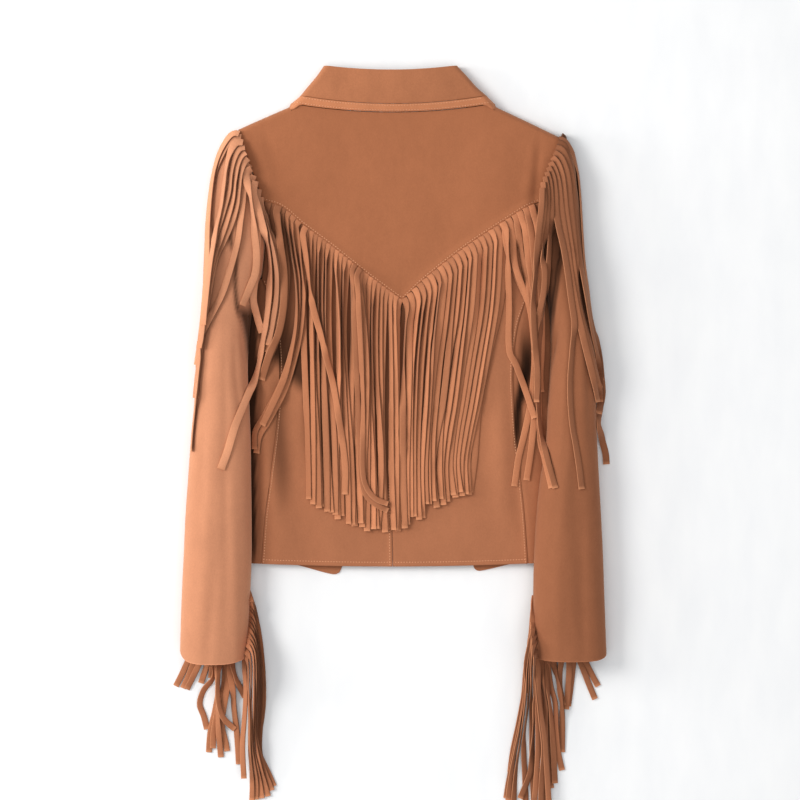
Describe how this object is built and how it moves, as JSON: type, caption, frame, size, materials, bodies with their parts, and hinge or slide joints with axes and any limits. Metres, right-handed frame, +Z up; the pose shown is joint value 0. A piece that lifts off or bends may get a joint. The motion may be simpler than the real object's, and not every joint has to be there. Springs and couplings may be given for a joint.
{
  "type": "fringed suede jacket",
  "caption": "Cropped tan suede jacket with cut fringe on its back yoke, armholes and cuffs, laid face down with the collar turned up.",
  "frame": {"origin": "on the surface that the jacket lies on, under the middle of its bounding box", "axes": "+X across the jacket to its own right sleeve's side as seen from above, +Y from the hem towards the collar, +Z up from the surface"},
  "size_m": [0.5064, 0.8837, 0.051],
  "materials": {
    "suede": "napped suede, matt",
    "fringe_suede": "cut suede strips, napped, with lighter raw edges"
  },
  "bodies": {
    "root": {"back_yoke": "suede", "back_left": "suede", "back_right": "suede", "front_left": "suede", "front_right": "suede", "neck_band": "suede", "collar": "suede", "sleeve_left": "suede", "sleeve_right": "suede", "yoke_fringe_left": "fringe_suede", "yoke_fringe_right": "fringe_suede", "armhole_fringe_left": "fringe_suede", "armhole_fringe_right": "fringe_suede", "cuff_fringe_left": "fringe_suede", "cuff_fringe_right": "fringe_suede"}
  },
  "joints": []
}
